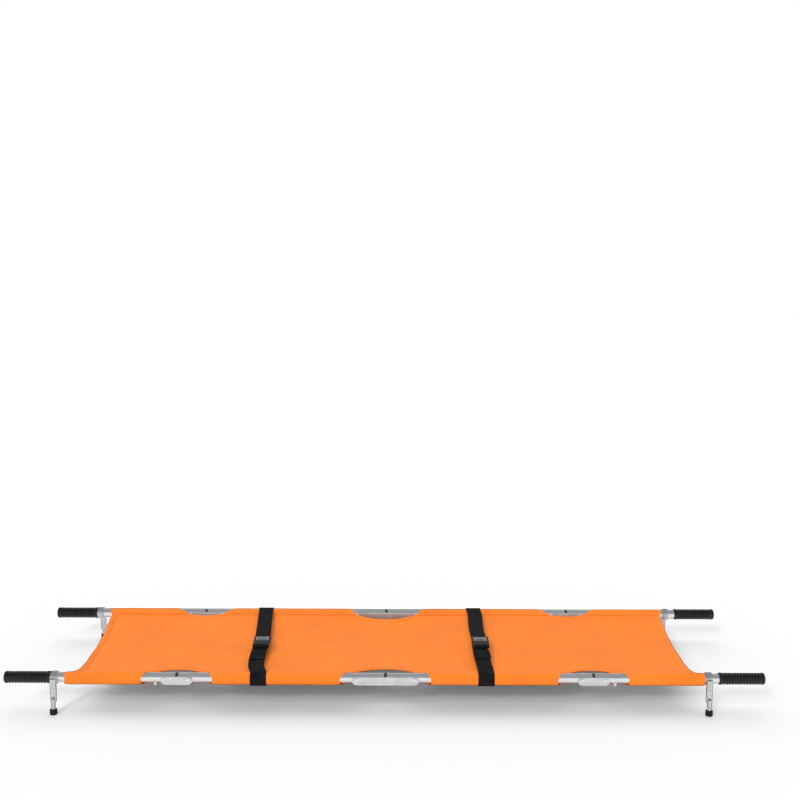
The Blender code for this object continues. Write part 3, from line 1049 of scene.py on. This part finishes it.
def strap_x(end, y):
    """The strap's centre line, slanting as its CAD band does, with a lazy bend."""
    low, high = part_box(f"strap_{end}")
    slant = (high[0] - low[0] - 2 * STRAP_HALF) if end == "left" else 0.0
    across = (y + POLE_Y) / (2 * POLE_Y)
    if end == "left":
        lazy = -0.010 * sin(pi * min(1.0, (across + 0.06) / 0.46))
        lazy += 0.004 * (1 - min(1.0, across / 0.10))
    else:
        lazy = -0.003 * sin(pi * min(1.0, across / 0.9)) + 0.001 * sin(16 * across)
    return (low[0] + high[0]) / 2 - slant * y / (2 * POLE_Y) * 0.92 + lazy


def band(points, half, thick):
    """A strap along points: its flat section is laid along X, with round selvedges."""
    rows = []
    upper = [(-0.985, 0.5), (-0.90, 0.62), (-0.5, 0.5), (0.0, 0.5), (0.5, 0.5), (0.90, 0.62), (0.985, 0.5)]
    section = [(-1.0, 0.0), *upper, (1.0, 0.0), *[(a, -b) for a, b in reversed(upper)]]
    shape = bmesh.new()
    for i, point in enumerate(points):
        before = points[max(i - 1, 0)]
        after = points[min(i + 1, len(points) - 1)]
        along = (after - before).normalized()
        across = Vector((1, 0, 0)) - along * along.x
        across.normalize()
        up = along.cross(across)
        rows.append([shape.verts.new(point + across * a * half + up * b * thick) for a, b in section])
    skin(shape, rows)
    return shape


def loop_points(end, side):
    """The loop of a strap round one pole, a little wider than the sleeve."""
    x = strap_x(end, side * POLE_Y)
    points = []
    for degrees in spaced(-8, 336, 46):
        angle = pi / 2 - side * radians(degrees)
        radius = STRAP_REST + 1.15 * droop(angle)
        y = side * POLE_Y + radius * cos(angle)
        points.append(Vector((x, y, AXIS_Z + radius * sin(angle))))
    return points


def top_height(end, y):
    """The strap's height over the bed: nearly taut, with a few slack waves."""
    _, seed = STRAPS[end]
    across = 1 - min(1.0, abs(y) / POLE_Y) ** 4
    waves = 0.0014 * noise.noise(Vector((seed, y * 16, 0.4)))
    near = min(1.0, max(0.0, (BUCKLE_Y[end] - DIP_START - y) / 0.10))
    dip = 0.0055 * near * (1 - min(1.0, -y / POLE_Y if y < 0 else 0.0) ** 3)
    return AXIS_Z + STRAP_REST + (waves - 0.0012) * across - dip


def make_straps():
    """Each strap: a sewn loop on each pole, a run over the bed to the buckle, and a free tail."""
    for end, (number, _) in STRAPS.items():
        for row, side in ROWS:
            shape = band(loop_points(end, side), STRAP_HALF, STRAP_THICK)
            finish_piece(f"strap_loop_{end}_{row}", shape, WEBBING, body_of(number, row), 50)
        run = [Vector((strap_x(end, y), y, top_height(end, y))) for y in spaced(-POLE_Y, POLE_Y, 90)]
        shape = band(run, STRAP_HALF, STRAP_THICK)
        top = finish_piece(f"strap_run_{end}", shape, WEBBING, body_of(number, "front"), 50)
        squash_strap(top)
        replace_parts(top, f"strap_{end}")
        make_strap_stitches(end, number)
        make_tail(end)


def squash_strap(piece):
    squash_to(piece)


def make_strap_stitches(end, number):
    """A box stitch where each loop is sewn down, next to its pole."""
    for row, side in ROWS:
        stitches = bmesh.new()
        near, far, half = POLE_Y - 0.014, POLE_Y - 0.044, 0.019
        corners = [(-half, near), (half, near), (half, far), (-half, far), (-half, near), (half, far)]
        points = []
        for (ax, ay), (bx, by) in zip(corners, corners[1:]):
            for t in spaced(0, 1, 8):
                y = side * (ay + (by - ay) * t)
                x = strap_x(end, y) + ax + (bx - ax) * t
                points.append(Vector((x, y, top_height(end, y) + STRAP_THICK * 0.5 + 0.0002)))
        sew(stitches, points, 0.0040, 0.0003)
        name = f"strap_stitches_{end}_{row}"
        made = finish_piece(name, stitches, WEBBING, body_of(number, "front"), 60)
        squash_strap(made)


def make_tail(end):
    """The strap's free tail, folded back from the buckle along the bed and lying a little askew."""
    start = BUCKLE_Y[end] - TAIL_START
    length = 0.070 if end == "left" else 0.060
    lean = 0.003 if end == "left" else 0.0045
    points = []
    for t in spaced(0, 1, 40):
        y = start - length * t
        lift = 0.0022 + 0.0035 * sin(pi * min(1.0, t * 1.15)) ** 2
        x = strap_x(end, y) + lean * sin(1.3 * t)
        points.append(Vector((x, y, top_height(end, y) + lift)))
    shape = band(points, STRAP_HALF - 0.0004, STRAP_THICK)
    made = finish_piece(f"strap_tail_{end}", shape, WEBBING, f"buckle_{end}", 50)
    squash_to(made)


def plate_with(outline, low, high, holes, width=0.0009):
    """A softened plate with holes. Each hole is an outline and its centre."""
    solid = prism(outline, low, high)
    soften(solid, width, 3)
    cutters = []
    for hole, (x, y) in holes:
        cutters.append(prism([(px + x, py + y) for px, py in hole], low - 0.01, high + 0.01))
    return carve(solid, cutters)


def make_buckles():
    """Side-release buckles: a socket with side windows, a plug with two prongs, and a metal cover plate."""
    for end in STRAPS:
        low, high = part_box(f"buckle_socket_{end}")
        half = (high[0] - low[0]) / 2
        bottom = low[2] + 0.0002
        height = high[2] - bottom
        at = move((high[0] + low[0]) / 2, BUCKLE_Y[end], bottom)
        make_socket(end, half, height, at)
        make_plug(end, half, height, at)
        make_cover(end, half, at @ move(0, 0.0225, height))


def make_socket(end, half, height, at):
    """The socket, from its webbing slot to its mouth, with a window at each side."""
    node = f"buckle_socket_{end}"
    back, mouth = (corner[1] - BUCKLE_Y[end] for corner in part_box(node))
    slot = (box_outline(half - SLOT_SIDE, 0.0028, 0.001), (0, back + SLOT_IN))
    shape = plate_with(socket_outline(half, back, mouth), 0, height, [slot])
    windows = []
    for direction in (-1, 1):
        window = prism(box_outline(0.0065, 0.0085, 0.002), 0.0022, height - 0.0022)
        shift(window, move(direction * half, mouth - 0.018, 0))
        windows.append(window)
    shape = carve(shape, windows)
    shift(shape, at)
    finish_node(node, f"buckle_shell_{end}", shape, BUCKLE, f"buckle_{end}")


def make_plug(end, half, height, at):
    """The plug, with a webbing slot, thumb ribs, and prongs that show in the socket's windows."""
    node = f"buckle_plug_{end}"
    near, far = 0.0003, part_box(node)[1][1] - BUCKLE_Y[end]
    centre = (near + far) / 2
    slot = (box_outline(half - SLOT_SIDE, 0.0030, 0.001), (0, far - SLOT_IN - centre))
    outline = box_outline(half - 0.0005, (far - near) / 2, 0.004)
    plate = plate_with(outline, 0.0002, height - 0.0004, [slot])
    shift(plate, move(0, centre, 0))
    for direction in (-1, 1):
        prong = prism(box_outline(0.0028, 0.013, 0.0015), 0.0030, height - 0.0030)
        soften(prong, 0.0005, 1)
        absorb(plate, prong, move(direction * (half - 0.0042), -0.0115, 0))
    absorb(plate, grip_ribs(half, height), move(0, centre - 0.004, 0))
    shift(plate, at)
    finish_node(node, f"buckle_tongue_{end}", plate, BUCKLE, f"buckle_{end}")


def socket_outline(half, back, mouth):
    """The socket seen from above: waisted where the fingers press."""
    points = []
    for side, start, stop in ((1, 0, 1), (-1, 1, 0)):
        for t in spaced(start, stop, 14):
            y = back + (mouth - back) * t
            waist = 0.0022 * sin(pi * t) ** 2
            corner = 0.004 * (max(0, 0.12 - t) / 0.12) ** 2
            points.append((side * (half - 0.0005 - waist - corner), y))
    return points


def grip_ribs(half, height):
    """Three thumb ribs across the plug."""
    pitch, rise = 0.0036, 0.0006
    ribs = bmesh.new()
    for y in (-pitch, 0, pitch):
        rib = prism(box_outline(half * 0.55, 0.0008, 0.0006), height - rise, height)
        absorb(ribs, rib, move(0, y, 0))
    return ribs


def make_cover(end, half, at):
    """The satin metal plate on the plug: round corners, a pressed rim and a raised thumb bar."""
    plate = prism(box_outline(half - 0.0065, 0.0130, 0.003), -0.0006, 0.0003)
    soften(plate, 0.0003, 2)
    dish = prism(box_outline(half - 0.0090, 0.0100, 0.002), 0.0000, 0.002)
    shape = carve(plate, [dish])
    bar = prism(slot_outline(half - 0.0130, 0.0020, 8), -0.0003, 0.0005)
    soften(bar, 0.0003, 2)
    absorb(shape, bar, move(0, 0.004, 0))
    shift(shape, at)
    finish_piece(f"buckle_cover_{end}", shape, COVER, f"buckle_{end}", 50)


# --- Stage


def make_camera():
    """A camera at standing height before the front pole, looking a little down over the stretcher."""
    yaw, pitch, roll = -0.46, -9.52, 0.33
    data = bpy.data.cameras.new("camera")
    data.sensor_width = 36
    data.lens = 50.5
    camera = link("camera", data)
    aim = spin(yaw) @ Matrix.Rotation(radians(90 + pitch), 4, "X") @ spin(roll)
    camera.matrix_world = move(0.012, -3.158, 1.355) @ aim
    bpy.context.scene.camera = camera


def make_floor():
    shape = bmesh.new()
    bmesh.ops.create_grid(shape, x_segments=1, y_segments=1, size=12)
    floor = link("floor", mesh_of("floor", shape))
    floor.location.z = -0.0004
    white, _ = graph("floor_white", (0.92, 0.92, 0.92), 0.9)
    floor.data.materials.append(white)
    floor.is_shadow_catcher = True


def sun(name, azimuth, elevation, spread, power):
    """A light from far away, which no surface mirrors. azimuth is in degrees from +X towards +Y."""
    data = bpy.data.lights.new(name, "SUN")
    data.angle = radians(spread)
    data.energy = power
    light = link(name, data)
    turn, rise = radians(azimuth), radians(elevation)
    level = cos(rise)
    stands = Vector((cos(turn) * level, sin(turn) * level, sin(rise)))
    light.location = stands * 5
    light.visible_glossy = False
    light.rotation_euler = (-stands).to_track_quat("-Z", "Y").to_euler()


def make_light():
    """A studio that is white low down and greyer overhead, with a big soft light above and two in front."""
    world = bpy.data.worlds.new("studio")
    world.use_nodes = True
    sky = world.node_tree.nodes["Background"]
    coordinates = node_of("ShaderNodeTexCoord", sky).outputs["Generated"]
    height = node_of("ShaderNodeSeparateXYZ", sky, Vector=coordinates).outputs["Z"]
    feed(sky.inputs["Color"], ramp(height, (0.27, (1, 1, 1)), (0.46, (0.36, 0.37, 0.38))))
    bpy.context.scene.world = world
    sun("overhead", 110, 64, 75, 1.40)
    sun("front", 240, 38, 30, 0.75)
    sun("low", 243, 33, 7, 0.65)
    bpy.context.scene.view_settings.view_transform = "Standard"


def in_both_rows(make, names):
    for row, side in ROWS:
        for name in names:
            make(name, row, side)


make_camera()
make_light()
make_floor()
in_both_rows(make_tube, TUBE_BODY)
in_both_rows(make_grip, OUTER)
in_both_rows(make_bracket, HINGE_X)
in_both_rows(make_hinge_bolts, HINGE_X)
in_both_rows(make_leg, OUTER)
in_both_rows(make_spreader, OUTER)
make_bed()
in_both_rows(make_sleeve, TUBE_BODY)
make_straps()
make_buckles()
